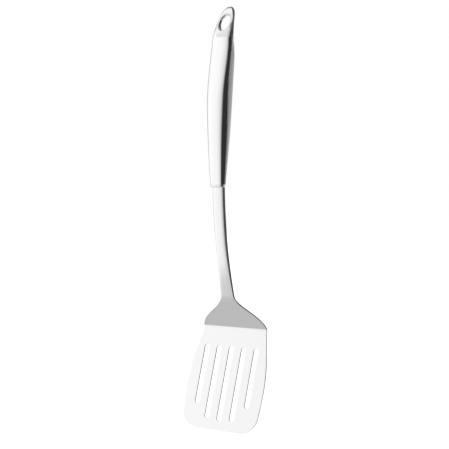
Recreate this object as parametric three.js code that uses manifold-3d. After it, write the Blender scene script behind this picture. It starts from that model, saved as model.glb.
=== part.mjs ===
// A slotted kitchen turner in stainless steel: one stamped blade with its shank, welded into a hollow handle
// that is made of two pressed shells. It hangs by its loop: +Z runs up the handle, the food side faces -Y,
// and the origin is the centre of the hanging hole, just inside its front rim.
import * as THREE from "three";
import { mergeVertices } from "three/addons/utils/BufferGeometryUtils.js";
import Module from "manifold-3d";

const wasm = await Module();
wasm.setup();
const { clamp, lerp, smoothstep, degToRad } = THREE.MathUtils;

// Driving dimensions, in millimetres. Lengths along the turner follow its bent centre line.

// Hanging loop
const HOLE_WIDTH = 10.4;
const HOLE_LENGTH = 15.9;
const LOOP_SIDE_RIM = 1.5;
const LOOP_TOP_RIM = 6.95;
const LOOP_SET_BACK = 1;
const LOOP_SETTLE_START = 8;
const LOOP_SETTLE_LENGTH = 18;
const NOSE_LENGTH = 22;
const LINER_WALL = 0.8;

// Hollow handle
const HANDLE_LENGTH = 132;
const GRIP_WIDTH = 19;
const ROOT_FRONT_DEPTH = 3.6;
const GRIP_FRONT_DEPTH = 7.5;
const MOUTH_FRONT_DEPTH = 4.7;
const GRIP_REAR_DEPTH = 11;
const WIDTH_SWELL_LENGTH = 30;
const ROOT_SWELL_START = -3;
const ROOT_SWELL_LENGTH = 17;
const FRONT_SWELL_LENGTH = 50;
const REAR_SWELL_START = -2;
const REAR_SWELL_LENGTH = 32;
const TAPER_LENGTH = 64;
const REAR_TAPER_LENGTH = 92;
const SEAM_RISE = 1.9;
const SEAM_LEVEL_LENGTH = 18;
const SEAM_RISE_LENGTH = 32;
const SEAM_FALL_LENGTH = 45;
const SEAM_FALL_FOOT = 32;
const SHELL_WALL = 0.8;

// Shank and tang
const SHANK_LENGTH = 91;
const SHANK_WIDTH = 10.4;
const SHANK_THICKNESS = 2.7;
const SHANK_CROWN = 0.9;
const THINNING_LENGTH = 28;
const NECK_FLARE = 1;
const TANG_LENGTH = 40;
const TANG_STEP = 1;
const TANG_FOOT = 6;

// Shoulder and blade
const SHOULDER_LENGTH = 30;
const NECK_FILLET = 10;
const HEEL_ROUND = 13;
const HEEL_OPENING = 1;
const HEEL_DRAW_IN = 6.5;
const HEEL_RADIUS = 5;
const BLADE_LENGTH = 84.5;
const BLADE_WIDTH = 75.6;
const BLADE_THICKNESS = 1.2;
const TIP_TAPER_LENGTH = 34.5;
const TIP_DRAW_IN = 1;
const TIP_CORNER = 15;

// Slots: the outer pair stops short of the rounded corners, the next pair just short of the middle one
const SLOT_COUNT = 5;
const SLOT_WIDTH = 4.6;
const SLOT_SIDE_MARGIN = 11.1;
const SLOT_HEEL_MARGIN = 15.5;
const SLOT_TIP_MARGIN = 7.5;
const OUTER_SLOT_RISE = 12.5;
const INNER_SLOT_RISE = 1;

// Forward lean of the centre line on its way down, in degrees, and the lengths over which it changes
const LOOP_LEAN = 33.548;
const GRIP_LEAN = 6;
const MOUTH_LEAN = -1;
const NECK_LEAN = -13;
const SHOULDER_LEAN = -24.5;
const BLADE_LEAN = 18;
const LOOP_BEND_FOOT = 16;
const SHANK_STRAIGHT = 12;
const NECK_BEND_LENGTH = 11;

// Joints
const FIT_GAP = 0.3;
const SEAM_BEAD = 0.6;
const MOUTH_BEAD_LENGTH = 1.8;
const MOUTH_BEAD_DRAW = 0.3;

// How square the handle's section is: 2 is an ellipse, and higher powers fill its corners
const LOOP_POWER = 6;
const GRIP_POWER = 3;
const MOUTH_POWER = 4;

// How square the top of the loop is, seen from the front: 2 is an even round
const NOSE_POWER = 2.35;

// How flat the shank's rounded front is: 2 is an even arch, and higher powers leave it flat in the middle
const CROWN_POWER = 4;

// How late the handle draws in towards its mouth: 1 is a straight taper, higher powers hold the belly longer
const TAPER_EASE = 1.3;
const REAR_TAPER_EASE = 1.8;

// Fineness of the faceted surfaces
const SECTION_STEPS = 12;
const SHEET_STEPS = 6;
const CURVE_STEPS = 8;
const NOSE_STEPS = 6;
const HANDLE_STEP = 4.5;
const LEAST_STEP = 0.1;
const MERGE_DISTANCE = 1e-4;

// Places along the centre line, measured down from the centre of the hanging hole
const linerRim = LINER_WALL + FIT_GAP;
const loopTop = -(HOLE_LENGTH / 2 + linerRim + LOOP_TOP_RIM);
const mouth = HANDLE_LENGTH;
const tangTop = mouth - TANG_LENGTH;
const neck = mouth + SHANK_LENGTH;
const shankMiddle = (mouth + neck) / 2;
const heel = neck + SHOULDER_LENGTH;
const heelArc = HEEL_RADIUS * degToRad(BLADE_LEAN - SHOULDER_LEAN);
const heelStart = heel - heelArc / 2;
const heelEnd = heel + heelArc / 2;
const tip = heel + BLADE_LENGTH;

// The centre line as stations of lean: between two stations the lean changes evenly, which is an arc.
const stations = [
  { at: loopTop, lean: LOOP_LEAN },
  { at: LOOP_BEND_FOOT, lean: GRIP_LEAN },
  { at: mouth, lean: MOUTH_LEAN },
  { at: neck - SHANK_STRAIGHT, lean: NECK_LEAN },
  { at: neck, lean: NECK_LEAN },
  { at: neck + NECK_BEND_LENGTH, lean: SHOULDER_LEAN },
  { at: heelStart, lean: SHOULDER_LEAN },
  { at: heelEnd, lean: BLADE_LEAN },
  { at: tip, lean: BLADE_LEAN },
];

// The entry of a rising list that closes the interval around a value: never the first, never past the last.
function closing(list, value) {
  const index = list.findIndex((entry) => entry >= value);
  return index < 0 ? list.length - 1 : Math.max(1, index);
}

function leanAt(s) {
  const next = closing(stations.map((station) => station.at), s);
  const start = stations[next - 1];
  const end = stations[next];
  const share = clamp((s - start.at) / (end.at - start.at), 0, 1);
  return degToRad(lerp(start.lean, end.lean, share));
}

// The offset from one place on the line to a later one, arc by arc, so that distances follow the metal.
function walk(from, to) {
  const turns = stations.map((station) => station.at).filter((at) => at > from && at < to);
  const cuts = [from, ...turns, to];
  const offset = new THREE.Vector3();
  for (let i = 1; i < cuts.length; i++) {
    const length = cuts[i] - cuts[i - 1];
    const middle = leanAt((cuts[i] + cuts[i - 1]) / 2);
    const halfTurn = leanAt(cuts[i]) - middle;
    const chord = halfTurn === 0 ? length : (length * Math.sin(halfTurn)) / halfTurn;
    offset.y -= chord * Math.sin(middle);
    offset.z -= chord * Math.cos(middle);
  }
  return offset;
}

// A point at distance s along the line, x across it and d in front of it.
function place(s, x, d) {
  const lean = leanAt(s);
  const point = s < 0 ? walk(s, 0).negate() : walk(0, s);
  point.x += x;
  point.y -= d * Math.cos(lean);
  point.z += d * Math.sin(lean);
  return point;
}

// Turns a flat cutter, drawn across (x), up the metal (y) and out of its front (z), to a place on the line.
function frameAt(s) {
  const lean = leanAt(s);
  const up = new THREE.Vector3(0, Math.sin(lean), Math.cos(lean));
  const front = new THREE.Vector3(0, -Math.cos(lean), Math.sin(lean));
  return new THREE.Matrix4().makeBasis(new THREE.Vector3(1, 0, 0), up, front).setPosition(place(s, 0, 0));
}

// A closed body through rings of points. Each ring is convex and runs the same way round.
function loft(rings) {
  const count = rings[0].length;
  const last = (rings.length - 1) * count;
  const index = [];
  for (let row = 0; row < rings.length - 1; row++) {
    for (let i = 0; i < count; i++) {
      const a = row * count + i;
      const b = row * count + ((i + 1) % count);
      index.push(a, a + count, b, b, a + count, b + count);
    }
  }
  for (let i = 1; i < count - 1; i++) {
    index.push(0, i, i + 1);
    index.push(last, last + i + 1, last + i);
  }
  return new THREE.BufferGeometry().setFromPoints(rings.flat()).setIndex(index);
}

function solid(geometry) {
  const bare = geometry.clone();
  bare.deleteAttribute("normal");
  bare.deleteAttribute("uv");
  const merged = mergeVertices(bare, MERGE_DISTANCE);
  return new wasm.Manifold(
    new wasm.Mesh({
      numProp: 3,
      vertProperties: merged.attributes.position.array,
      triVerts: new Uint32Array(merged.index.array),
    }),
  );
}

function geometryOf(body) {
  const mesh = body.getMesh();
  const geometry = new THREE.BufferGeometry();
  geometry.setAttribute("position", new THREE.BufferAttribute(mesh.vertProperties, 3));
  geometry.setIndex(new THREE.BufferAttribute(mesh.triVerts, 1));
  geometry.computeVertexNormals();
  return geometry;
}

// The blade's sheet

// Half of the flat blank's outline: x is the half width, y the distance along the metal.
function blankOutline() {
  const shankHalf = SHANK_WIDTH / 2;
  const tangHalf = shankHalf - TANG_STEP;
  const neckHalf = shankHalf + NECK_FLARE;
  const bladeHalf = BLADE_WIDTH / 2;
  const heelHalf = bladeHalf - HEEL_DRAW_IN;
  const tipHalf = bladeHalf - TIP_DRAW_IN;
  const widest = tip - TIP_TAPER_LENGTH;
  const cornerStart = tip - TIP_CORNER;
  const neckCurve = (shankMiddle + neck) / 2;
  const half = new THREE.Path();
  half.moveTo(tangHalf, tangTop);
  half.lineTo(tangHalf, mouth - 2 * TANG_FOOT);
  half.lineTo(shankHalf, mouth - TANG_FOOT);
  half.lineTo(shankHalf, shankMiddle);
  half.bezierCurveTo(shankHalf, neckCurve, neckHalf, neckCurve, neckHalf, neck);
  half.bezierCurveTo(
    neckHalf, neck + NECK_FILLET,
    heelHalf - HEEL_OPENING, heel - HEEL_ROUND,
    heelHalf, heel,
  );
  half.bezierCurveTo(
    heelHalf + HEEL_OPENING, heel + HEEL_ROUND,
    bladeHalf, (heel + widest) / 2,
    bladeHalf, widest,
  );
  half.quadraticCurveTo(bladeHalf, (widest + cornerStart) / 2, tipHalf, cornerStart);
  half.absarc(tipHalf - TIP_CORNER, cornerStart, TIP_CORNER, 0, Math.PI / 2);
  return half.getPoints(CURVE_STEPS);
}

const outline = blankOutline();

function blankHalfWidth(s) {
  const next = closing(outline.map((point) => point.y), s);
  const a = outline[next - 1];
  const b = outline[next];
  return lerp(a.x, b.x, (s - a.y) / (b.y - a.y));
}

function evenPlaces(from, to, count) {
  return Array.from({ length: count + 1 }, (_, i) => lerp(from, to, i / count));
}

// Rows of the sheet: every corner of its outline, and enough rows to follow each bend.
function sheetPlaces() {
  const bends = [
    ...evenPlaces(tangTop, mouth, CURVE_STEPS),
    ...evenPlaces(mouth, neck, 2 * CURVE_STEPS),
    ...evenPlaces(neck, neck + NECK_BEND_LENGTH, CURVE_STEPS / 2),
    ...evenPlaces(heelStart, heelEnd, CURVE_STEPS),
  ];
  const all = [...outline.map((point) => point.y), ...bends].sort((a, b) => a - b);
  return all.filter((s, i) => i === 0 || s - all[i - 1] > LEAST_STEP);
}

const sheetThinning = (s) => smoothstep(s, neck - THINNING_LENGTH, heel);
const sheetThickness = (s) => lerp(SHANK_THICKNESS, BLADE_THICKNESS, sheetThinning(s));
const sheetCrown = (s) => SHANK_CROWN * (1 - smoothstep(s, shankMiddle, neck + NECK_BEND_LENGTH));

// A crowned strip across the sheet, grown on every side by a clearance.
function sheetRing(s, halfWidth, clearance) {
  const half = halfWidth + clearance;
  const back = sheetThickness(s) / 2 + clearance;
  const across = evenPlaces(-half, half, SHEET_STEPS);
  const arch = (x) => sheetCrown(s) * (1 - Math.abs(x / half) ** CROWN_POWER);
  const front = across.map((x) => place(s, x, back + arch(x)));
  const rear = across.reverse().map((x) => place(s, x, -back));
  return [...front, ...rear];
}

// One slot of the row, counted from the left: a cutter with round ends, deep enough to pass the sheet.
function slotCutter(index) {
  const radius = SLOT_WIDTH / 2;
  const pitch = (BLADE_WIDTH - 2 * SLOT_SIDE_MARGIN - SLOT_WIDTH) / (SLOT_COUNT - 1);
  const fromEdge = Math.min(index, SLOT_COUNT - 1 - index);
  const rise = [OUTER_SLOT_RISE, INNER_SLOT_RISE][fromEdge] ?? 0;
  const length = BLADE_LENGTH - SLOT_HEEL_MARGIN - SLOT_TIP_MARGIN - rise;
  const shape = new THREE.Shape();
  shape.absarc(0, -radius, radius, 0, Math.PI);
  shape.absarc(0, radius - length, radius, Math.PI, 2 * Math.PI);
  const depth = 4 * BLADE_THICKNESS;
  const cutter = new THREE.ExtrudeGeometry(shape, { depth, bevelEnabled: false, curveSegments: CURVE_STEPS });
  cutter.translate((index - (SLOT_COUNT - 1) / 2) * pitch, 0, -depth / 2);
  return cutter.applyMatrix4(frameAt(heel + SLOT_HEEL_MARGIN));
}

function makeBlade() {
  let blade = solid(loft(sheetPlaces().map((s) => sheetRing(s, blankHalfWidth(s), 0))));
  for (let index = 0; index < SLOT_COUNT; index++) {
    blade = blade.subtract(solid(slotCutter(index)));
  }
  return blade;
}

// The hollow handle

const seamEdge = SEAM_BEAD / 2 + FIT_GAP;
const loopHalf = HOLE_WIDTH / 2 + linerRim + LOOP_SIDE_RIM;
const loopDepth = seamEdge + SHELL_WALL;
const mouthHalf = SHANK_WIDTH / 2 + FIT_GAP + SHELL_WALL;
const mouthRear = SHANK_THICKNESS / 2 + FIT_GAP + SHELL_WALL;

// A soft step that starts at a place on the line and takes a length to go from 0 to 1.
const swell = (s, start, length) => smoothstep(s, start, start + length);

// A taper that goes from 0 to 1 over the last length before the mouth.
const drawIn = (s, length, ease) => clamp((s - mouth + length) / length, 0, 1) ** ease;

// The handle's outside at a place on the line: half width, depth in front and behind, how far in front its
// parting plane lies, and how square it is. The parting plane is set back at the loop, and bows forward along
// the middle of the grip.
function handleSection(s) {
  const holeTop = -HOLE_LENGTH / 2;
  const root = ROOT_SWELL_START + ROOT_SWELL_LENGTH;
  const rootSwell = swell(s, ROOT_SWELL_START, ROOT_SWELL_LENGTH);
  const rearSwell = swell(s, REAR_SWELL_START, REAR_SWELL_LENGTH);
  const taper = drawIn(s, TAPER_LENGTH, TAPER_EASE);
  const rearTaper = drawIn(s, REAR_TAPER_LENGTH, REAR_TAPER_EASE);
  const nose = Math.max(0, loopTop + NOSE_LENGTH - s) / NOSE_LENGTH;
  const noseRound = (1 - nose ** NOSE_POWER) ** (1 / NOSE_POWER);
  const widthSwell = swell(s, holeTop, WIDTH_SWELL_LENGTH);
  const rootFront = lerp(loopDepth - LOOP_SET_BACK, ROOT_FRONT_DEPTH, rootSwell);
  const gripFront = lerp(rootFront, GRIP_FRONT_DEPTH, swell(s, root, FRONT_SWELL_LENGTH));
  const gripRear = lerp(loopDepth + LOOP_SET_BACK, GRIP_REAR_DEPTH, rearSwell);
  const setBack = LOOP_SET_BACK * (1 - swell(s, LOOP_SETTLE_START, LOOP_SETTLE_LENGTH));
  const seamFall = swell(s, mouth - SEAM_FALL_FOOT - SEAM_FALL_LENGTH, SEAM_FALL_LENGTH);
  return {
    half: lerp(lerp(loopHalf, GRIP_WIDTH / 2, widthSwell), mouthHalf, taper) * noseRound,
    front: lerp(gripFront, MOUTH_FRONT_DEPTH, taper),
    rear: lerp(gripRear, mouthRear, rearTaper),
    seam: SEAM_RISE * swell(s, SEAM_LEVEL_LENGTH, SEAM_RISE_LENGTH) * (1 - seamFall) - setBack,
    power: lerp(lerp(LOOP_POWER, GRIP_POWER, widthSwell), MOUTH_POWER, taper),
  };
}

// Half of a rounded section, from its right edge over to its left one. The depth is negative behind the line.
function halfOval(s, half, edge, depth, power) {
  return evenPlaces(0, Math.PI, SECTION_STEPS).map((angle) => {
    const x = half * Math.sign(Math.cos(angle)) * Math.abs(Math.cos(angle)) ** (2 / power);
    const rise = Math.abs(Math.sin(angle)) ** (2 / power);
    return place(s, x, lerp(edge, depth, rise));
  });
}

// Rows of the handle between two places, closer together where its nose rounds off.
function handlePlaces(start, end) {
  const noseEnd = loopTop + NOSE_LENGTH;
  const nose = evenPlaces(0, 1, NOSE_STEPS).map((t) => lerp(loopTop, noseEnd, t ** 2));
  const rest = evenPlaces(noseEnd, mouth, Math.ceil((mouth - noseEnd) / HANDLE_STEP));
  const between = (s) => s > start + LEAST_STEP && s < end - LEAST_STEP;
  return [start, ...[...nose, ...rest.slice(1)].filter(between), end];
}

const handleTop = loopTop + LEAST_STEP;
const past = 2 * MOUTH_BEAD_LENGTH;

function frontRing(s) {
  const { half, front, seam, power } = handleSection(s);
  return halfOval(s, half, seam + seamEdge, front, power).reverse();
}

function rearRing(s) {
  const { half, rear, seam, power } = handleSection(s);
  return halfOval(s, half, seam - seamEdge, -rear, power);
}

// A whole rounded section, drawn in from the handle's outside by an inset.
function ovalRing(s, inset) {
  const { half, front, rear, seam, power } = handleSection(s);
  const over = halfOval(s, half - inset, seam, front - inset, power).reverse();
  const under = halfOval(s, half - inset, seam, inset - rear, power).slice(1, -1);
  return [...over, ...under];
}

// A flat strip along the parting plane, drawn in from the handle's sides by an inset.
function stripRing(s, inset, depth) {
  const { half, seam } = handleSection(s);
  const corners = [
    [-1, 1],
    [1, 1],
    [1, -1],
    [-1, -1],
  ];
  return corners.map(([side, face]) => place(s, side * (half - inset), seam + face * depth));
}

function ovalPrism(width, length, depth) {
  const shape = new THREE.Shape();
  shape.absellipse(0, 0, width / 2, length / 2, 0, 2 * Math.PI);
  const curveSegments = 2 * CURVE_STEPS;
  const prism = new THREE.ExtrudeGeometry(shape, { depth, bevelEnabled: false, curveSegments });
  prism.translate(0, 0, -depth / 2);
  return solid(prism.applyMatrix4(frameAt(0)));
}

const cavityPlaces = handlePlaces(handleTop + SHELL_WALL, mouth);
const cavity = solid(loft([...cavityPlaces, mouth + past].map((s) => ovalRing(s, SHELL_WALL))));
const passagePlaces = [tangTop, ...evenPlaces(mouth - past, mouth + past, CURVE_STEPS)];
const passage = solid(loft(passagePlaces.map((s) => sheetRing(s, SHANK_WIDTH / 2, FIT_GAP))));
const linerWidth = HOLE_WIDTH + 2 * LINER_WALL;
const linerLength = HOLE_LENGTH + 2 * LINER_WALL;
const throughLoop = 10 * loopDepth;
const linerSeat = ovalPrism(linerWidth + 2 * FIT_GAP, linerLength + 2 * FIT_GAP, throughLoop);

function makeShell(ring) {
  const outside = solid(loft(handlePlaces(handleTop, mouth).map(ring)));
  return outside.subtract(cavity).subtract(passage).subtract(linerSeat);
}

function makeLiner() {
  const outside = solid(loft(handlePlaces(handleTop, mouth).map((s) => ovalRing(s, 0))));
  const hole = ovalPrism(HOLE_WIDTH, HOLE_LENGTH, 2 * throughLoop);
  return ovalPrism(linerWidth, linerLength, throughLoop).subtract(hole).intersect(outside);
}

function makeSeamWeld() {
  const outside = handlePlaces(handleTop, mouth).map((s) => stripRing(s, 0, SEAM_BEAD / 2));
  const inside = [...cavityPlaces, mouth + past].map((s) => stripRing(s, SHELL_WALL, SEAM_BEAD));
  return solid(loft(outside)).subtract(solid(loft(inside)));
}

function makeMouthWeld() {
  const start = mouth + FIT_GAP;
  const rings = evenPlaces(0, 1, CURVE_STEPS / 2).map((t) => {
    return ovalRing(lerp(start, start + MOUTH_BEAD_LENGTH, t), lerp(0, MOUTH_BEAD_DRAW, t));
  });
  return solid(loft(rings)).subtract(passage);
}

// The assembly

const satinSteel = { color: 0xd9dadb, roughness: 0.28, metalness: 1 };
const polishedSteel = { color: 0xe2e3e4, roughness: 0.1, metalness: 1 };
const groundWeld = { color: 0xcfd0d1, roughness: 0.32, metalness: 1 };

function piece(name, body, finish) {
  const mesh = new THREE.Mesh(geometryOf(body), new THREE.MeshStandardMaterial(finish));
  mesh.name = name;
  return mesh;
}

const turner = new THREE.Group();
turner.add(
  piece("blade", makeBlade(), satinSteel),
  piece("handle_front_shell", makeShell(frontRing), polishedSteel),
  piece("handle_rear_shell", makeShell(rearRing), polishedSteel),
  piece("hang_hole_liner", makeLiner(), polishedSteel),
  piece("seam_weld", makeSeamWeld(), groundWeld),
  piece("mouth_weld", makeMouthWeld(), groundWeld),
);

export default turner;
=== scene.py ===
# %% [markdown]
# # A slotted turner in stainless steel
# The real turner is one stamped sheet for blade, shoulder and shank, two pressed half shells for the
# handle, a short oval tube in the hanging hole, and two weld beads that close it all up. This lesson
# models those six pieces one after the other, and then sets up a white studio round them.
#
# The imported solids are loaded first. They give the frame that every new piece has to fit into, and
# their box is kept; it sets the height of the floor at the end.

# %% Load the frame
import math

import bmesh
import bpy
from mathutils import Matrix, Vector


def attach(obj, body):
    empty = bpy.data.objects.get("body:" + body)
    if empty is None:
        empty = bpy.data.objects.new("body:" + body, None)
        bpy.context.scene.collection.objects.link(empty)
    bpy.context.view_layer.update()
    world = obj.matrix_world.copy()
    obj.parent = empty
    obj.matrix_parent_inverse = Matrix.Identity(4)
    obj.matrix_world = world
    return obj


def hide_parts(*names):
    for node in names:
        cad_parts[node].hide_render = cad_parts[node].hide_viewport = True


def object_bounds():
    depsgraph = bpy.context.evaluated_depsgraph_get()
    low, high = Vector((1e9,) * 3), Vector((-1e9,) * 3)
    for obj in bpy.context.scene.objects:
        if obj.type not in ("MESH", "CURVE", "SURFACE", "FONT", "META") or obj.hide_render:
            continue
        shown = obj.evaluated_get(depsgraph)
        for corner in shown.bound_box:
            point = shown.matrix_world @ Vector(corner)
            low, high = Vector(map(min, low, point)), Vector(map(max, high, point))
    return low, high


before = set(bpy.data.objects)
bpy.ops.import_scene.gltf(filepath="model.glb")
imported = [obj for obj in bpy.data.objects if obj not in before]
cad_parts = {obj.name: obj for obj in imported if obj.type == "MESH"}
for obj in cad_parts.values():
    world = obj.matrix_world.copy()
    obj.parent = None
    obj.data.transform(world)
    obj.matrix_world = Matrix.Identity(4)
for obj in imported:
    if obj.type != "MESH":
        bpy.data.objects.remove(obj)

CAD_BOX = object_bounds()
MM = 0.001
print("CAD box in mm:", [[round(v / MM, 1) for v in corner] for corner in CAD_BOX])

# %% [markdown]
# ## The line that the metal follows
# Seen from the side the turner is a bent line: the loop leans back, the grip is nearly upright, the
# shank and shoulder swing back below it, and the blade turns forward at the heel. Each piece is easier
# to model straight and flat, hanging down from the hole along -Z with its front at -Y, and to bend
# afterwards, as the factory does. The line is written down as how far it leans forward on its way down,
# in degrees, at a few places along it. Between two places the lean changes evenly, which makes an arc.

# %% The bent line
LOOP_TOP = -16.0
MOUTH = 132.0
NECK = 223.0
HEEL = 253.0
HEEL_HALF_BEND = 1.854
TIP = 337.5
LEANS = [
    (LOOP_TOP, 33.548),
    (16.0, 6.0),
    (MOUTH, -1.0),
    (211.0, -13.0),
    (NECK, -13.0),
    (234.0, -24.5),
    (HEEL - HEEL_HALF_BEND, -24.5),
    (HEEL + HEEL_HALF_BEND, 18.0),
    (TIP, 18.0),
]
LEAST_TURN = 1e-9


def walk(start, end, lean_start, lean_end):
    """How far the line goes back (y) and up (z) from start to end, in mm."""
    first = math.radians(lean_start)
    last = math.radians(lean_end)
    length = end - start
    if abs(last - first) < LEAST_TURN:
        return -math.sin(first) * length, -math.cos(first) * length
    turn = (last - first) / length
    return (math.cos(last) - math.cos(first)) / turn, -(math.sin(last) - math.sin(first)) / turn


def line_at(distance, origin=(0.0, 0.0)):
    """Place (y, z) in mm and lean in radians of the line, at a distance down it from the hole, with
    the top of the line at the origin."""
    y, z = origin
    for (start, lean_start), (end, lean_end) in zip(LEANS, LEANS[1:]):
        if distance <= end or end == TIP:
            share = (distance - start) / (end - start)
            lean = lean_start + (lean_end - lean_start) * share
            step = walk(start, distance, lean_start, lean)
            return y + step[0], z + step[1], math.radians(lean)
        step = walk(start, end, lean_start, lean_end)
        y += step[0]
        z += step[1]


AT_HOLE = line_at(0.0)
LINE_TOP = (-AT_HOLE[0], -AT_HOLE[1])
print("heel at", [round(v, 2) for v in line_at(HEEL, LINE_TOP)[:2]], "mm from the hole")

# %% [markdown]
# Bending is done in mesh code, since Blender's own bend tool needs a window. Each point of a straight
# piece keeps its distance from the line, or in the handle's pieces from the seam, which stands a little
# off the line. The straight place is also stored on the points, because the polishing marks run along
# the metal and a finish has to follow them round the bends.

# %% Bending a straight piece
def smooth(value, low, high):
    """0 below low, 1 above high, and a soft S between them."""
    share = min(1.0, max(0.0, (value - low) / (high - low)))
    return share * share * (3.0 - 2.0 * share)


def mix(low, high, share):
    return low + (high - low) * share


LOOP_SET_BACK = 1.0
LOOP_SETTLES = (8.0, 26.0)
SEAM_RISE = 1.9
SEAM_RISES = (18.0, 50.0)
SEAM_FALLS = (55.0, 100.0)


def seam_rise(distance):
    """How far the seam stands in front of the line, in mm. It lies behind it at the loop."""
    set_back = LOOP_SET_BACK * (1.0 - smooth(distance, *LOOP_SETTLES))
    return SEAM_RISE * smooth(distance, *SEAM_RISES) * (1.0 - smooth(distance, *SEAM_FALLS)) - set_back


def bend(piece, follow_seam=False):
    """Bends a straight piece along the line, and stores its straight places as an attribute."""
    mesh = piece.data
    straight = mesh.attributes.new("straight", "FLOAT_VECTOR", "POINT")
    for point, stored in zip(mesh.vertices, straight.data):
        stored.vector = point.co
        x, y, z = point.co / MM
        forward = -y + (seam_rise(-z) if follow_seam else 0.0)
        line_y, line_z, lean = line_at(-z, LINE_TOP)
        point.co = Vector((
            x,
            line_y - forward * math.cos(lean),
            line_z + forward * math.sin(lean),
        )) * MM
    mesh.update()


print("seam stands", round(seam_rise(45.0), 2), "mm forward at the grip")

# %% [markdown]
# ## A few habits
# An operator works on everything that is selected, so each piece starts with a clean selection. These
# small helpers do what a person does with the mouse: start a piece, pick points by their place, and
# apply a modifier.

# %% Helpers for modelling
NEAR = 0.01


def start(name, add, **settings):
    """Deselects everything, adds a primitive and names it."""
    if bpy.context.mode != "OBJECT":
        bpy.ops.object.mode_set(mode="OBJECT")
    bpy.ops.object.select_all(action="DESELECT")
    add(**settings)
    piece = bpy.context.active_object
    piece.name = piece.data.name = name
    return piece


def only(piece):
    """Makes one object the active one and the only selected one."""
    bpy.ops.object.select_all(action="DESELECT")
    piece.select_set(True)
    bpy.context.view_layer.objects.active = piece


def copy_of(piece, name):
    """A copy with its own mesh."""
    twin = piece.copy()
    twin.data = piece.data.copy()
    twin.name = twin.data.name = name
    bpy.context.collection.objects.link(twin)
    only(twin)
    return twin


def pick(test, kind="verts"):
    """In edit mode, selects the points, edges or faces that pass a test."""
    mesh = bmesh.from_edit_mesh(bpy.context.active_object.data)
    bpy.ops.mesh.select_mode(type={"verts": "VERT", "edges": "EDGE", "faces": "FACE"}[kind])
    bpy.ops.mesh.select_all(action="DESELECT")
    for element in getattr(mesh, kind):
        if test(element):
            element.select_set(True)
    mesh.select_flush_mode()
    bmesh.update_edit_mesh(bpy.context.active_object.data)


def finish_with(piece, kind, **settings):
    """Adds a modifier with its settings and applies it."""
    only(piece)
    modifier = piece.modifiers.new(kind.title(), kind)
    for name, value in settings.items():
        setattr(modifier, name, value)
    bpy.ops.object.modifier_apply(modifier=modifier.name)


def remove(*pieces):
    for piece in pieces:
        bpy.data.objects.remove(piece)


def tell(piece):
    size = [round(v / MM, 1) for v in piece.dimensions]
    print(piece.name, len(piece.data.polygons), "faces,", size, "mm")


print("places count as equal within", NEAR, "mm")

# %% [markdown]
# ## The blade, shoulder and shank
# The real one is a single sheet: blanked flat, slotted, its edges broken, and then bent. It could be
# a plane with a thickness, but the metal is thicker in the shank than in the blade, so a small block is
# drawn out row by row instead: its lower face is extruded down, and resized to the outline's width and
# to the sheet's thickness there. The outline is a chain of curves, which gives the rows.

# %% The outline of the blank
SHANK_HALF = 5.2
NECK_HALF = 6.2
HEEL_HALF = 31.3
BLADE_HALF = 37.8
TIP_HALF = 36.8
TIP_CORNER = 15.0
TANG_HALF = 4.2
TANG_TOP = 92.0
TANG_END = 120.0
SHANK_TOP = 126.0
SHANK_MIDDLE = 177.5
NECK_FILLET = 10.0
HEEL_ROUND = 13.0
HEEL_OPENING = 1.0
BLADE_ROUND = 25.0
WIDEST = 303.0
CORNER_TOP = TIP - TIP_CORNER
SHANK_STEPS = 12
SIDE_STEPS = 40
TIP_STEPS = 8
CORNER_STEPS = 14


def curve(points, count):
    """Points along a Bezier curve of two to four control points, without the first one."""
    rows = []
    for step in range(1, count + 1):
        chain = points
        while len(chain) > 1:
            chain = [
                tuple(mix(a, b, step / count) for a, b in zip(near, far))
                for near, far in zip(chain, chain[1:])
            ]
        rows.append(chain[0])
    return rows


SHANK = [(SHANK_HALF, SHANK_TOP), (SHANK_HALF, SHANK_MIDDLE)]
FLARE = [
    (SHANK_HALF, SHANK_MIDDLE),
    (SHANK_HALF, (SHANK_MIDDLE + NECK) / 2.0),
    (NECK_HALF, NECK),
]
SHOULDER = [
    (NECK_HALF, NECK),
    (NECK_HALF, NECK + NECK_FILLET),
    (HEEL_HALF - HEEL_OPENING, HEEL - HEEL_ROUND),
    (HEEL_HALF, HEEL),
]
BLADE_SIDE = [
    (HEEL_HALF, HEEL),
    (HEEL_HALF + HEEL_OPENING, HEEL + HEEL_ROUND),
    (BLADE_HALF, WIDEST - BLADE_ROUND),
    (BLADE_HALF, WIDEST),
]
TIP_SIDE = [
    (BLADE_HALF, WIDEST),
    (BLADE_HALF, (WIDEST + CORNER_TOP) / 2.0),
    (TIP_HALF, CORNER_TOP),
]
ROWS = [(TANG_HALF, TANG_TOP), (TANG_HALF, TANG_END), (SHANK_HALF, SHANK_TOP)]
ROWS += curve(SHANK, SHANK_STEPS)
ROWS += curve(FLARE, SHANK_STEPS)
ROWS += curve(SHOULDER, SIDE_STEPS)
ROWS += curve(BLADE_SIDE, SIDE_STEPS)
ROWS += curve(TIP_SIDE, TIP_STEPS)
for step in range(1, CORNER_STEPS + 1):
    turn = math.radians(90.0 * step / CORNER_STEPS)
    half = TIP_HALF - TIP_CORNER * (1.0 - math.cos(turn))
    ROWS.append((half, CORNER_TOP + TIP_CORNER * math.sin(turn)))
print(len(ROWS), "rows down the blank")

# %% Drawing out the blank
SHANK_SHEET = 2.7
BLADE_SHEET = 1.2
THINNING = 28.0
THIN_FROM = NECK - THINNING
FACING = 0.99


def sheet_at(distance):
    """Thickness of the sheet in mm."""
    return mix(SHANK_SHEET, BLADE_SHEET, smooth(distance, THIN_FROM, HEEL))


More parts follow.
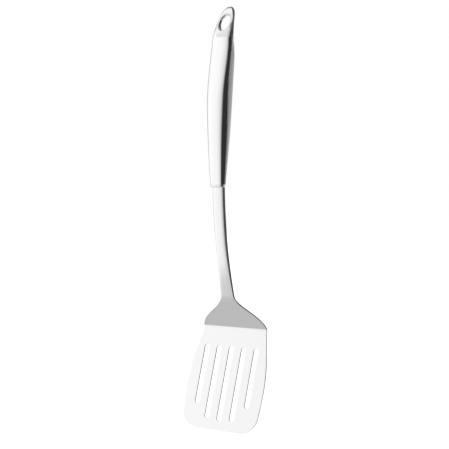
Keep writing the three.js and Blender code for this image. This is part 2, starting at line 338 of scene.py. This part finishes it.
half, top = ROWS[0]
first = ROWS[1][1] - top
blade = start("turner_blade", bpy.ops.mesh.primitive_cube_add, size=1.0)
bpy.ops.object.mode_set(mode="EDIT")
bpy.ops.transform.resize(value=(2.0 * half * MM, SHANK_SHEET * MM, first * MM))
bpy.ops.transform.translate(value=(0.0, 0.0, -(top + first / 2.0) * MM))
pick(lambda face: face.normal.z < -FACING, "faces")
for (half, near), (next_half, far) in zip(ROWS[1:], ROWS[2:]):
    down = (near - far) * MM
    bpy.ops.mesh.extrude_region_move(TRANSFORM_OT_translate={"value": (0.0, 0.0, down)})
    grow = (next_half / half, sheet_at(far) / sheet_at(near), 1.0)
    bpy.ops.transform.resize(value=grow, center_override=(0.0, 0.0, -far * MM))
bpy.ops.object.mode_set(mode="OBJECT")
tell(blade)

# %% [markdown]
# The shank's front is slightly rounded where the sheet was rolled narrow. Its rungs, the edges that
# cross the front, are subdivided, and the new points are lifted into a low arch that fades out towards
# the shoulder. Below the heel the rungs are of no use, so the flat faces there are dissolved into one.

# %% The rounded front of the shank
CROWN = 0.9
CROWN_POWER = 4.0
CROWN_END = 234.0
CROWN_CUTS = 15
FLAT_MARGIN = 0.4
FLAT_FROM = HEEL + HEEL_HALF_BEND - FLAT_MARGIN

only(blade)
bpy.ops.object.mode_set(mode="EDIT")


def is_rung(edge):
    """A front edge across the shank."""
    near, far = (vert.co / MM for vert in edge.verts)
    level = abs(near.z - far.z) < NEAR and abs(near.x + far.x) < NEAR
    return level and near.y < 0.0 and far.y < 0.0 and -near.z < CROWN_END


pick(is_rung, "edges")
bpy.ops.mesh.subdivide(number_cuts=CROWN_CUTS)
shape = bmesh.from_edit_mesh(blade.data)
widths = {}
for vert in shape.verts:
    level = round(vert.co.z / MM, 3)
    widths[level] = max(widths.get(level, 0.0), vert.co.x / MM)
for vert in shape.verts:
    level = round(vert.co.z / MM, 3)
    if vert.co.y < 0.0:
        across = vert.co.x / MM / widths[level]
        fade = 1.0 - smooth(-level, SHANK_MIDDLE, CROWN_END)
        vert.co.y -= CROWN * fade * (1.0 - abs(across) ** CROWN_POWER) * MM
bmesh.update_edit_mesh(blade.data)
for side in (-1.0, 1.0):
    pick(
        lambda face: face.normal.y * side > FACING
        and all(-vert.co.z / MM > FLAT_FROM for vert in face.verts),
        "faces",
    )
    bpy.ops.mesh.dissolve_faces()
bpy.ops.object.mode_set(mode="OBJECT")
tell(blade)

# %% [markdown]
# Five slots are punched through the flat blade. A punch is a short cylinder whose lower half is pulled
# down to the slot's length, and a Boolean modifier takes it out of the blank.

# %% Punching the slots
SLOT_WIDTH = 4.6
SLOT_PITCH = 12.2
SLOT_MARGIN = 15.5
SLOT_TOP = HEEL + SLOT_MARGIN
SLOT_LENGTHS = [49.0, 60.5, 61.5, 60.5, 49.0]
PUNCH_DEPTH = 6.0
PUNCH_POINTS = 48


def punch(column, length):
    """A tool with the shape of one slot."""
    tool = start(
        "slot_punch",
        bpy.ops.mesh.primitive_cylinder_add,
        vertices=PUNCH_POINTS,
        radius=SLOT_WIDTH / 2.0 * MM,
        depth=PUNCH_DEPTH * MM,
        rotation=(math.radians(90.0), 0.0, 0.0),
    )
    bpy.ops.object.transform_apply(location=False, rotation=True, scale=False)
    bpy.ops.object.mode_set(mode="EDIT")
    pick(lambda vert: vert.co.z / MM < -NEAR)
    bpy.ops.transform.translate(value=(0.0, 0.0, -(length - SLOT_WIDTH) * MM))
    bpy.ops.mesh.select_all(action="SELECT")
    move = (column * SLOT_PITCH * MM, 0.0, -(SLOT_TOP + SLOT_WIDTH / 2.0) * MM)
    bpy.ops.transform.translate(value=move)
    bpy.ops.mesh.normals_make_consistent(inside=False)
    bpy.ops.object.mode_set(mode="OBJECT")
    return tool


for column, length in enumerate(SLOT_LENGTHS, start=-2):
    tool = punch(column, length)
    finish_with(blade, "BOOLEAN", object=tool, operation="DIFFERENCE", solver="EXACT")
    remove(tool)
tell(blade)

# %% [markdown]
# The sharp edges are broken with a small bevel while the sheet is still flat, and then it is bent. Normals
# weighted by area keep the flat faces flat in the reflections.

# %% Breaking the edges and bending the sheet
EDGE_ROUND = 0.22
EDGE_STEPS = 3
EDGE_ANGLE = math.radians(40.0)

finish_with(
    blade,
    "BEVEL",
    width=EDGE_ROUND * MM,
    segments=EDGE_STEPS,
    limit_method="ANGLE",
    angle_limit=EDGE_ANGLE,
    use_clamp_overlap=False,
)
bend(blade)
only(blade)
bpy.ops.object.shade_smooth()
finish_with(blade, "WEIGHTED_NORMAL", mode="FACE_AREA", weight=50, keep_sharp=False)
tell(blade)

# %% [markdown]
# ## The form of the handle
# Two half shells are pressed over the same form and then welded edge to edge. So the form is modelled
# once, as a closed body, and the shells, the seam and the tube in the hole are all cut out of it.
#
# Across the handle the section is a rounded box, deeper behind the seam than in front of it. At the loop
# it is a flat plate with square edges, set a little behind the line. Behind the seam the walls lean in
# slightly, as they must to come off a press tool. A circle is extruded down from the top of the loop,
# and the points of each new row are set on the section there. A few dozen rows are enough, because a
# Subdivision Surface then makes one even skin of them, which matters on polished metal where every bump
# shows in the reflections.

# %% The section of the handle
LOOP_HALF = 7.8
LOOP_DEPTH = 1.4
ROOT_FRONT = 3.6
GRIP_HALF = 9.5
GRIP_FRONT = 7.5
GRIP_REAR = 11.0
MOUTH_HALF = 6.3
MOUTH_FRONT = 4.7
MOUTH_REAR = 2.45
WIDTH_SWELL = (-7.95, 22.05)
ROOT_SWELL = (-3.0, 14.0)
FRONT_SWELL = (14.0, 64.0)
REAR_SWELL = (-2.0, 30.0)
TAPER = (68.0, 1.3)
REAR_TAPER = (40.0, 1.8)
NOSE = 22.0
NOSE_POWER = 2.35
NOSE_CAP = 4.0
NOSE_ROUNDING = 2.6
LOOP_POWER = 5.0
GRIP_POWER = 3.0
MOUTH_POWER = 4.0
DRAFT = 0.17
DRAFT_GROWS = (4.0, 20.0)


def draw_in(distance, begin, ease):
    """0 above the place where a taper begins, rising to 1 at the mouth."""
    return min(1.0, max(0.0, (distance - begin) / (MOUTH - begin))) ** ease


def section_point(turn, distance):
    """A point of the section, in mm: turn goes round it from its right edge, over the front."""
    taper = draw_in(distance, *TAPER)
    wide = smooth(distance, *WIDTH_SWELL)
    nose = min(1.0, max(0.0, (LOOP_TOP + NOSE - distance) / NOSE))
    half = mix(mix(LOOP_HALF, GRIP_HALF, wide), MOUTH_HALF, taper)
    half *= (1.0 - nose ** NOSE_POWER) ** (1.0 / NOSE_POWER)
    rise = seam_rise(distance)
    front = mix(LOOP_DEPTH - LOOP_SET_BACK, ROOT_FRONT, smooth(distance, *ROOT_SWELL))
    front = mix(mix(front, GRIP_FRONT, smooth(distance, *FRONT_SWELL)), MOUTH_FRONT, taper) - rise
    rear = mix(LOOP_DEPTH + LOOP_SET_BACK, GRIP_REAR, smooth(distance, *REAR_SWELL))
    rear = mix(rear, MOUTH_REAR, draw_in(distance, *REAR_TAPER)) + rise
    power = mix(mix(LOOP_POWER, GRIP_POWER, wide), MOUTH_POWER, taper)
    depth = abs(math.sin(turn)) ** (2.0 / power)
    across = math.copysign(abs(math.cos(turn)) ** (2.0 / power), math.cos(turn)) * half
    cap = min(1.0, max(0.0, (LOOP_TOP + NOSE_CAP - distance) / NOSE_CAP))
    round_off = (1.0 - cap ** NOSE_ROUNDING) ** (1.0 / NOSE_ROUNDING)
    if turn >= 0.0:
        return across, -front * depth * round_off
    lean_in = 1.0 - DRAFT * smooth(distance, *DRAFT_GROWS) * depth * (1.0 - depth / 2.0)
    return across * lean_in, rear * depth * round_off


print("grip is", round(2.0 * section_point(0.0, 45.0)[0], 1), "mm wide")

# %% The rows of the handle
SECTION_POINTS = 48
EDGE_TURN = 1e-6
ON_SEAM = 0.001
NOSE_TURNS = [5.0, 11.0, 18.0, 26.0, 35.0, 44.0, 53.0, 62.0, 71.0, 80.0, 90.0]
GRIP_ROWS = [8.0, 11.0, 14.0, 17.0, 20.0, 23.0, 27.0, 31.0, 36.0, 41.0, 46.0, 51.0, 56.0, 61.0]
TAPER_ROWS = [66.0, 71.0, 76.0, 82.0, 88.0, 94.0, 100.0, 106.0, 112.0, 118.0, 124.0, 129.0, 134.0, 138.0]
LEVELS = [LOOP_TOP + NOSE * (1.0 - math.cos(math.radians(turn))) for turn in NOSE_TURNS]
LEVELS += GRIP_ROWS + TAPER_ROWS


def draw_out(piece, levels):
    """In edit mode, extrudes a circle down through the levels and sets every row on the section."""
    shape = bmesh.from_edit_mesh(piece.data)
    layer = shape.verts.layers.float.new("turn")
    for vert in shape.verts:
        turn = math.atan2(-vert.co.y, vert.co.x)
        vert[layer] = 0.0 if abs(turn) < EDGE_TURN else turn
    for level in levels:
        if level != levels[0]:
            bpy.ops.mesh.extrude_region_move()
        shape = bmesh.from_edit_mesh(piece.data)
        layer = shape.verts.layers.float["turn"]
        for vert in shape.verts:
            if vert.select:
                x, y = section_point(vert[layer], level)
                vert.co = Vector((x, y, -level)) * MM
        bmesh.update_edit_mesh(piece.data)
    bpy.ops.mesh.select_all(action="SELECT")
    bpy.ops.mesh.normals_make_consistent(inside=False)


form = start(
    "handle_form",
    bpy.ops.mesh.primitive_circle_add,
    vertices=SECTION_POINTS,
    radius=1.0,
    fill_type="NGON",
)
bpy.ops.object.mode_set(mode="EDIT")
draw_out(form, LEVELS)
pick(lambda edge: all(abs(vert.co.y / MM) < ON_SEAM for vert in edge.verts), "edges")
bpy.ops.transform.edge_crease(value=1.0)
bpy.ops.object.mode_set(mode="OBJECT")
finish_with(form, "SUBSURF", levels=2, render_levels=2)
tell(form)

# %% [markdown]
# The hanging hole is cut through the form with an oval tool, one wall thickness larger than the hole,
# since the tube goes inside it. A copy of the form without the hole is kept: the tube's ends are trimmed
# to it, and the seam is cut out of it.

# %% The hanging hole
HOLE_HALF_WIDTH = 5.2
HOLE_HALF_LENGTH = 7.95
TUBE_WALL = 0.8
TUBE_DEPTH = 16.0
OVAL_POINTS = 96


def oval(name, grow, **settings):
    """An oval cylinder through the loop, larger than the hole by grow."""
    tool = start(
        name,
        bpy.ops.mesh.primitive_cylinder_add,
        vertices=OVAL_POINTS,
        radius=1.0,
        depth=TUBE_DEPTH * MM,
        rotation=(math.radians(90.0), 0.0, 0.0),
        **settings,
    )
    bpy.ops.object.transform_apply(location=False, rotation=True, scale=False)
    bpy.ops.object.mode_set(mode="EDIT")
    wide = (HOLE_HALF_WIDTH + grow) * MM
    high = (HOLE_HALF_LENGTH + grow) * MM
    bpy.ops.mesh.select_all(action="SELECT")
    bpy.ops.transform.resize(value=(wide, 1.0, high))
    bpy.ops.object.mode_set(mode="OBJECT")
    return tool


whole = copy_of(form, "handle_whole")
tool = oval("hole_punch", TUBE_WALL)
finish_with(form, "BOOLEAN", object=tool, operation="DIFFERENCE", solver="EXACT")
remove(tool)
tell(form)

# %% [markdown]
# ## The two shells and the seam
# A bisect keeps one side of the form. What is left is a thin skin, so Solidify gives it the wall of the
# pressed sheet, inwards, and a small bevel breaks its edges. The seam is the band between the shells,
# ground flush after welding.

# %% Cutting the shells and the seam
SHELL_WALL = 0.8
SEAM_HALF = 0.45
RIM_ROUND = 0.07
RIM_STEPS = 2
SMOOTH_ANGLE = math.radians(35.0)


def cut(piece, at, normal):
    """Cuts a piece along a plane and keeps the side behind the normal."""
    only(piece)
    bpy.ops.object.mode_set(mode="EDIT")
    bpy.ops.mesh.select_all(action="SELECT")
    bpy.ops.mesh.bisect(plane_co=at, plane_no=normal, use_fill=False, clear_outer=True)
    bpy.ops.object.mode_set(mode="OBJECT")


def walled(piece):
    """Ends a skin at the mouth, gives it a wall and broken edges, and bends it."""
    cut(piece, (0.0, 0.0, -MOUTH * MM), (0.0, 0.0, -1.0))
    finish_with(piece, "SOLIDIFY", thickness=SHELL_WALL * MM, offset=-1.0)
    finish_with(
        piece,
        "BEVEL",
        width=RIM_ROUND * MM,
        segments=RIM_STEPS,
        limit_method="ANGLE",
        angle_limit=EDGE_ANGLE,
        use_clamp_overlap=False,
    )
    bend(piece, follow_seam=True)
    only(piece)
    bpy.ops.object.shade_smooth_by_angle(angle=SMOOTH_ANGLE)
    tell(piece)


front_shell = copy_of(form, "front_shell")
cut(front_shell, (0.0, -SEAM_HALF * MM, 0.0), (0.0, 1.0, 0.0))
walled(front_shell)
rear_shell = copy_of(form, "rear_shell")
cut(rear_shell, (0.0, SEAM_HALF * MM, 0.0), (0.0, -1.0, 0.0))
walled(rear_shell)
seam_bead = copy_of(whole, "seam_bead")
cut(seam_bead, (0.0, SEAM_HALF * MM, 0.0), (0.0, 1.0, 0.0))
cut(seam_bead, (0.0, -SEAM_HALF * MM, 0.0), (0.0, -1.0, 0.0))
walled(seam_bead)

# %% [markdown]
# ## The tube in the hanging hole
# A short oval tube lines the hole and keeps water out of the hollow handle. It is an open cylinder with
# a wall, and its ends are trimmed to the loop's faces by keeping only what lies inside the form. Its
# inner lips are rounded. The end faces are noted while the tube is still straight, since they are
# buffed together with the loop.

# %% The tube
TUBE_ROUND = 0.3
TUBE_STEPS = 4
END_FACING = 0.7

hole_liner = oval("hole_liner", TUBE_WALL, end_fill_type="NOTHING")
finish_with(hole_liner, "SOLIDIFY", thickness=TUBE_WALL * MM, offset=-1.0, use_even_offset=True)
finish_with(hole_liner, "BOOLEAN", object=whole, operation="INTERSECT", solver="EXACT")


def is_lip(edge):
    """An inner edge at one of the tube's ends."""
    middle_wide = (HOLE_HALF_WIDTH + TUBE_WALL / 2.0) * MM
    middle_high = (HOLE_HALF_LENGTH + TUBE_WALL / 2.0) * MM
    inside = all(math.hypot(v.co.x / middle_wide, v.co.z / middle_high) < 1.0 for v in edge.verts)
    return inside and len(edge.link_faces) == 2 and edge.calc_face_angle() > EDGE_ANGLE


bpy.ops.object.mode_set(mode="EDIT")
pick(is_lip, "edges")
bpy.ops.mesh.bevel(offset=TUBE_ROUND * MM, segments=TUBE_STEPS, affect="EDGES")
bpy.ops.object.mode_set(mode="OBJECT")
finish_with(
    hole_liner,
    "BEVEL",
    width=RIM_ROUND * MM,
    segments=RIM_STEPS,
    limit_method="ANGLE",
    angle_limit=EDGE_ANGLE,
    use_clamp_overlap=False,
)
tube_ends = [face.index for face in hole_liner.data.polygons if abs(face.normal.y) > END_FACING]
bend(hole_liner, follow_seam=True)
only(hole_liner)
bpy.ops.object.shade_smooth_by_angle(angle=SMOOTH_ANGLE)
remove(form, whole)
tell(hole_liner)

# %% [markdown]
# ## The bead at the mouth
# Where the shank goes into the handle, a weld bead closes the gap. It is a short collar: the mouth's own
# section, drawn down in a few rows that close in a little, with the shank's bar taken out of its middle.

# %% The bead
BEAD_ROWS = [(MOUTH, 0.0), (MOUTH + 1.7, 0.2), (MOUTH + 1.95, 0.3), (MOUTH + 2.1, 0.55)]
BAR_GAP = 0.02
BAR_LENGTH = 6.0

mouth_bead = start(
    "mouth_bead",
    bpy.ops.mesh.primitive_circle_add,
    vertices=SECTION_POINTS,
    radius=1.0,
    fill_type="NGON",
)
bpy.ops.object.mode_set(mode="EDIT")
draw_out(mouth_bead, [level for level, _ in BEAD_ROWS])
deep = (MOUTH_FRONT + MOUTH_REAR) / 2.0
for level, inset in BEAD_ROWS:
    pick(lambda vert: abs(vert.co.z / MM + level) < NEAR)
    shrink = (1.0 - inset / MOUTH_HALF, 1.0 - inset / deep, 1.0)
    middle = (0.0, (MOUTH_REAR - MOUTH_FRONT) / 2.0 * MM, -level * MM)
    bpy.ops.transform.resize(value=shrink, center_override=middle)
bpy.ops.object.mode_set(mode="OBJECT")
bar = start("shank_bar", bpy.ops.mesh.primitive_cube_add, size=1.0)
bpy.ops.object.mode_set(mode="EDIT")
thick = SHANK_SHEET + CROWN
bpy.ops.transform.resize(
    value=((2.0 * SHANK_HALF + BAR_GAP) * MM, (thick + BAR_GAP) * MM, BAR_LENGTH * MM)
)
bpy.ops.transform.translate(value=(0.0, -CROWN / 2.0 * MM, -MOUTH * MM))
bpy.ops.object.mode_set(mode="OBJECT")
finish_with(mouth_bead, "BOOLEAN", object=bar, operation="DIFFERENCE", solver="EXACT")
remove(bar)
bend(mouth_bead)
only(mouth_bead)
bpy.ops.object.shade_smooth_by_angle(angle=SMOOTH_ANGLE)
tell(mouth_bead)

# %% [markdown]
# ## Writing finishes as sums
# A finish is a chain of nodes. Written out one node at a time it is hard to read, so a small class
# wraps a socket: adding or multiplying two wrapped sockets adds the Math node that does it, and one
# method makes any other node.

# %% The wrapped socket
class Flow:
    """A socket of a node tree that can be used in sums."""

    def __init__(self, tree, socket=None):
        self.tree = tree
        self.socket = socket

    def node(self, kind, settings=None, sockets=None, out=0):
        """Adds a node, sets it up, feeds its sockets, and returns one of its outputs."""
        made = self.tree.nodes.new(kind)
        for name, value in (settings or {}).items():
            if name == "stops":
                ramp = made.color_ramp.elements
                while len(ramp) < len(value):
                    ramp.new(0.5)
                for element, (position, level) in zip(ramp, value):
                    element.position = position
                    element.color = (level, level, level, 1.0)
            else:
                setattr(made, name, value)
        for name, value in (sockets or {}).items():
            if isinstance(value, Flow):
                self.tree.links.new(value.socket, made.inputs[name])
            else:
                made.inputs[name].default_value = value
        return Flow(self.tree, made.outputs[out] if made.outputs else None)

    def sibling(self, out):
        """Another output of the same node."""
        return Flow(self.tree, self.socket.node.outputs[out])

    def sum(self, operation, first, second):
        return self.node("ShaderNodeMath", {"operation": operation}, {0: first, 1: second})

    def __add__(self, other):
        return self.sum("ADD", self, other)

    __radd__ = __add__

    def __mul__(self, other):
        return self.sum("MULTIPLY", self, other)

    __rmul__ = __mul__

    def __sub__(self, other):
        return self.sum("SUBTRACT", self, other)

    def __rsub__(self, other):
        return self.sum("SUBTRACT", other, self)

    def __truediv__(self, other):
        return self.sum("DIVIDE", self, other)

    def ramp(self, low, high, bottom=0.0, top=1.0):
        """A soft step from bottom to top, as this value goes from low to high."""
        settings = {"interpolation_type": "SMOOTHSTEP"}
        ends = {"From Min": low, "From Max": high, "To Min": bottom, "To Max": top}
        return self.node("ShaderNodeMapRange", settings, {"Value": self, **ends})


print("finishes can be written as sums")

# %% [markdown]
# ## Steel
# All pieces are the same stainless steel, finished in different ways: the blade and shank are satin
# from a belt, the front of the handle is buffed nearly to a mirror, its back is brushed below the buffed
# loop, the tube is satin inside, and the welds are ground, with a darker seam. The tube's inside is also
# given a slightly darker colour than the rest, which is painted shade in the hole. Bare metal has no
# colour of its own beyond a faint cool grey. What tells the finishes apart is the roughness and the marks:
# fine lines along the metal, cloudy patches where the belt pressed harder, and small scratches from use.
# The patterns read the straight places, so they follow the metal round its bends.

# %% The steel finishes
LINES = (5200.0, 5200.0, 45.0)
CLOUDS = (95.0, 95.0, 38.0)
WEAR = (1500.0, 900.0, 160.0)
WEAR_SHOWS = (0.66, 0.74)
LINE_ROUGH = 0.12
TONE = 0.05
MARK_TONE = 0.03
MARK_DEPTH = 0.6
GRAIN_ROUGH = 0.6
BUFFED_LOOP = (-24.0 * MM, -8.0 * MM)
LOOP_ROUGH = 0.10


def steel(name, colour, rough, line_depth, cloud, scratches, buffed=False):
    """A finish: colour, roughness, depth of its lines in metres, strength of clouds and scratches, and
    whether it gives way to a buffed one at the loop."""
    material = bpy.data.materials.new(name)
    material.use_nodes = True
    tree = material.node_tree
    tree.nodes.clear()
    flow = Flow(tree)
    along = flow.node("ShaderNodeAttribute", {"attribute_name": "straight"}, out=1)

    def grain(scale, detail):
        """Noise stretched by a scale for each direction."""
        stretched = flow.node("ShaderNodeMapping", None, {"Vector": along, "Scale": scale})
        sockets = {"Vector": stretched, "Scale": 1.0, "Detail": detail, "Roughness": GRAIN_ROUGH}
        return flow.node("ShaderNodeTexNoise", {"noise_dimensions": "3D"}, sockets)

    lines = grain(LINES, 3.0)
    clouds = grain(CLOUDS, 4.0)
    marks = grain(WEAR, 2.0).ramp(*WEAR_SHOWS)
    if buffed:
        height = flow.node("ShaderNodeSeparateXYZ", None, {"Vector": along}, out=2)
        rough = height.ramp(*BUFFED_LOOP, rough, LOOP_ROUGH)
    roughness = rough + (lines - 0.5) * LINE_ROUGH + (clouds - 0.5) * cloud + marks * scratches
    tone = 1.0 + (clouds - 0.5) * TONE + (lines - 0.5) * TONE - marks * MARK_TONE
    tint = flow.node("ShaderNodeVectorMath", {"operation": "SCALE"}, {0: colour, "Scale": tone})
    relief = lines - marks * MARK_DEPTH
    bump = flow.node(
        "ShaderNodeBump", None, {"Height": relief, "Strength": 1.0, "Distance": line_depth}
    )
    shader = flow.node(
        "ShaderNodeBsdfPrincipled",
        None,
        {"Base Color": tint, "Metallic": 1.0, "Roughness": roughness, "Normal": bump},
    )
    flow.node("ShaderNodeOutputMaterial", None, {"Surface": shader})
    return material


SATIN = steel("satin_steel", (0.80, 0.80, 0.805), 0.22, 1.5e-6, 0.10, 0.05)
POLISHED = steel("polished_steel", (0.80, 0.80, 0.81), 0.10, 0.3e-6, 0.05, 0.06)
BRUSHED = steel("brushed_steel", (0.80, 0.80, 0.805), 0.50, 1.5e-6, 0.10, 0.05, buffed=True)
# The tube's inside is satin, and its colour is a little darker than the other steels as painted shade in
# the hole.
LINER_WITH_PAINTED_SHADE = steel("liner_steel_painted_shade", (0.78, 0.78, 0.79), 0.24, 1.5e-6, 0.10, 0.05)
GROUND = steel("weld_steel", (0.74, 0.74, 0.75), 0.20, 2.0e-6, 0.12, 0.05)
SEAM = steel("seam_steel", (0.26, 0.26, 0.27), 0.24, 2.0e-6, 0.12, 0.05)
print("six finishes")

# %% [markdown]
# Each piece gets its finish, takes the place of its solid, and rides on the turner's one body.

# %% Dressing the frame
DRESS = [
    (blade, "blade", SATIN, "satin_steel"),
    (front_shell, "handle_front_shell", POLISHED, "polished_steel"),
    (rear_shell, "handle_rear_shell", BRUSHED, "polished_steel"),
    (hole_liner, "hang_hole_liner", LINER_WITH_PAINTED_SHADE, "polished_steel"),
    (seam_bead, "seam_weld", SEAM, "weld_steel"),
    (mouth_bead, "mouth_weld", GROUND, "weld_steel"),
]
for piece, node, finish, slot in DRESS:
    piece.data.materials.clear()
    piece.data.materials.append(finish)
    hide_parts(node)
    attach(piece, "root")
    print(piece.name, "stands for", node)
# The tube's ends take the buffed finish; its inside keeps the darker colour that is painted shade.
hole_liner.data.materials.append(POLISHED)
for index in tube_ends:
    hole_liner.data.polygons[index].material_index = 1

# %% [markdown]
# ## The camera
# The turner hangs upright, seen from its front right at about the height of its middle, from less than
# a metre away with a moderately long lens.

# %% Camera
AZIMUTH = math.radians(35.0)
ELEVATION = math.radians(1.0)
DISTANCE = 0.85
AIM = Vector((1.37, -2.52, -163.51)) * MM
LENS = 84.14

camera_data = bpy.data.cameras.new("camera")
camera_data.lens = LENS
camera = bpy.data.objects.new("camera", camera_data)
bpy.context.collection.objects.link(camera)
towards = Vector((
    math.sin(AZIMUTH) * math.cos(ELEVATION),
    -math.cos(AZIMUTH) * math.cos(ELEVATION),
    math.sin(ELEVATION),
))
camera.location = AIM + towards * DISTANCE
camera.rotation_mode = "QUATERNION"
camera.rotation_quaternion = (-towards).to_track_quat("-Z", "Y")
bpy.context.scene.camera = camera
print("camera at", [round(v, 3) for v in camera.location])

# %% [markdown]
# ## The studio
# Polished steel shows its surroundings more than itself, so the studio is built for the reflections. At
# eye level stand cards: white ones in front and on the left, a dark one on the right that draws the black
# line along the handle, and a bright one behind with a dark strip over it. Above them is a room that is
# bright on the left and dim on the right, with a dark ceiling, and below them a pale floor with one dark
# patch on the right. These could be real cards, but a world whose brightness depends only on the
# direction does the same without edges or noise. Each band is a list of levels round the room, by azimuth
# from the front, and soft steps say how high it reaches. The backdrop that the camera sees is plain white.

# %% Levels round the room
CARDS = [
    (-180.0, 1.02),
    (-165.0, 0.75),
    (-150.0, 0.12),
    (-136.0, 0.14),
    (-118.0, 0.35),
    (-98.0, 0.75),
    (-78.0, 1.15),
    (-58.0, 1.29),
    (-40.0, 1.22),
    (-22.0, 1.05),
    (-6.0, 0.90),
    (7.0, 0.68),
    (17.0, 0.46),
    (26.0, 0.20),
    (34.0, 0.08),
    (44.0, 0.034),
    (152.0, 0.034),
    (156.5, 0.92),
    (180.0, 1.02),
]
ROOM = [
    (-180.0, 0.50),
    (-165.0, 0.40),
    (-140.0, 0.10),
    (-122.0, 0.06),
    (-108.0, 0.08),
    (-97.0, 0.45),
    (-88.0, 0.82),
    (-78.0, 1.00),
    (-64.0, 1.20),
    (-56.0, 1.10),
    (-46.0, 0.96),
    (-30.0, 0.93),
    (-9.0, 0.85),
    (13.0, 0.56),
    (54.0, 0.33),
    (85.0, 0.24),
    (115.0, 0.30),
    (150.0, 0.42),
    (180.0, 0.50),
]
FLOOR = [
    (-180.0, 1.00),
    (-120.0, 0.95),
    (-95.0, 0.75),
    (-70.0, 0.645),
    (60.0, 0.60),
    (95.0, 0.40),
    (107.0, 0.12),
    (115.0, 0.14),
    (123.0, 0.60),
    (146.0, 0.75),
    (180.0, 1.00),
]
CEILING_EDGE = [
    (-180.0, 50.0),
    (-120.0, 61.0),
    (5.0, 61.0),
    (35.0, 57.0),
    (90.0, 46.0),
    (120.0, 46.0),
    (180.0, 50.0),
]
CEILING_SOFT = 6.0
CEILING_LEVEL = 0.04
CARD_HEAD = (45.0, 75.0, 28.0, 38.0)
CARD_DROP = (124.0, 140.0, 0.0, 27.0)
CARD_SOFT = 2.0
STRIP_FOOT = (9.5, 13.5)
STRIP_HEAD = (25.0, 31.0)
STRIP_BEHIND = (0.6, 0.8)
STRIP_LEVEL = 0.05
FLOOR_EDGE = (60.0, 100.0, -26.5, -40.0)
FLOOR_LIFT = (112.0, 135.0, 0.0, 31.0)
FLOOR_SOFT = 3.5
FLOOR_LIGHT = 1.6
print("cards", len(CARDS), "room", len(ROOM), "floor", len(FLOOR), "levels")

# %% [markdown]
# The world's nodes turn a direction into an azimuth and a height in degrees, look up the levels there, and
# blend the bands from top to bottom. A light path keeps the backdrop white and the floor evenly lit.

# %% World
DEGREES = 180.0 / math.pi

world = bpy.data.worlds.new("studio")
bpy.context.scene.world = world
world.use_nodes = True
world.node_tree.nodes.clear()
sky = Flow(world.node_tree)
direction = sky.node("ShaderNodeTexCoord")
across = sky.node("ShaderNodeSeparateXYZ", None, {"Vector": direction})
ahead = across.sibling(1)
up = across.sibling(2)
rise = sky.node("ShaderNodeMath", {"operation": "ARCSINE"}, {0: up}) * DEGREES
turn = sky.node("ShaderNodeMath", {"operation": "ARCTAN2"}, {0: across, 1: 0.0 - ahead}) * DEGREES
aside = sky.node("ShaderNodeMath", {"operation": "ABSOLUTE"}, {0: turn})


def round_about(levels):
    """Brightness by the direction round the room, from a list of azimuths and levels."""
    stops = [((azimuth + 180.0) / 360.0, level) for azimuth, level in levels]
    return sky.node("ShaderNodeValToRGB", {"stops": stops}, {"Fac": (turn + 180.0) / 360.0})


def blend(below, above, share):
    """One brightness, giving way to another by a share from 0 to 1."""
    return below + (above - below) * share


card_head = aside.ramp(*CARD_HEAD) - aside.ramp(*CARD_DROP)
over_cards = (rise - card_head).ramp(-CARD_SOFT, CARD_SOFT)
walls = blend(round_about(CARDS), round_about(ROOM), over_cards)
on_strip = rise.ramp(*STRIP_FOOT) * (1.0 - rise.ramp(*STRIP_HEAD)) * ahead.ramp(*STRIP_BEHIND)
backed = blend(walls, STRIP_LEVEL, on_strip)
over_edge = (rise - round_about(CEILING_EDGE)).ramp(-CEILING_SOFT, CEILING_SOFT)
topped = blend(backed, CEILING_LEVEL, over_edge)
floor_edge = aside.ramp(*FLOOR_EDGE) + aside.ramp(*FLOOR_LIFT)
under_edge = (floor_edge - rise).ramp(-FLOOR_SOFT, FLOOR_SOFT)
reflected = blend(topped, round_about(FLOOR), under_edge)
seen = sky.node("ShaderNodeLightPath")
diffuse = seen.sibling(2)
brightness = reflected + (1.0 - reflected) * seen + (FLOOR_LIGHT - reflected) * diffuse
light = sky.node("ShaderNodeBackground", None, {"Color": (1.0, 1.0, 1.0, 1.0), "Strength": brightness})
sky.node("ShaderNodeOutputWorld", None, {"Surface": light})
print("studio by direction")

# %% [markdown]
# The floor lies just under the blade's tip. It is matt and pale, and bright enough to run into the
# backdrop without a line.

# %% Floor
FLOOR_DROP = 0.03
FLOOR_SIZE = 12.0
FLOOR_COLOUR = (0.92, 0.92, 0.92, 1.0)
FLOOR_ROUGH = 0.9

floor_sheet = start(
    "studio_floor",
    bpy.ops.mesh.primitive_plane_add,
    size=FLOOR_SIZE,
    location=(0.0, 0.0, CAD_BOX[0].z - FLOOR_DROP),
)
pale = bpy.data.materials.new("pale_floor")
pale.use_nodes = True
paint = pale.node_tree.nodes["Principled BSDF"]
paint.inputs["Base Color"].default_value = FLOOR_COLOUR
paint.inputs["Roughness"].default_value = FLOOR_ROUGH
paint.inputs["Specular IOR Level"].default_value = 0.0
floor_sheet.data.materials.append(pale)
floor_sheet.visible_glossy = False
bpy.context.scene.view_settings.view_transform = "Standard"
print("floor at", round(floor_sheet.location.z, 3))
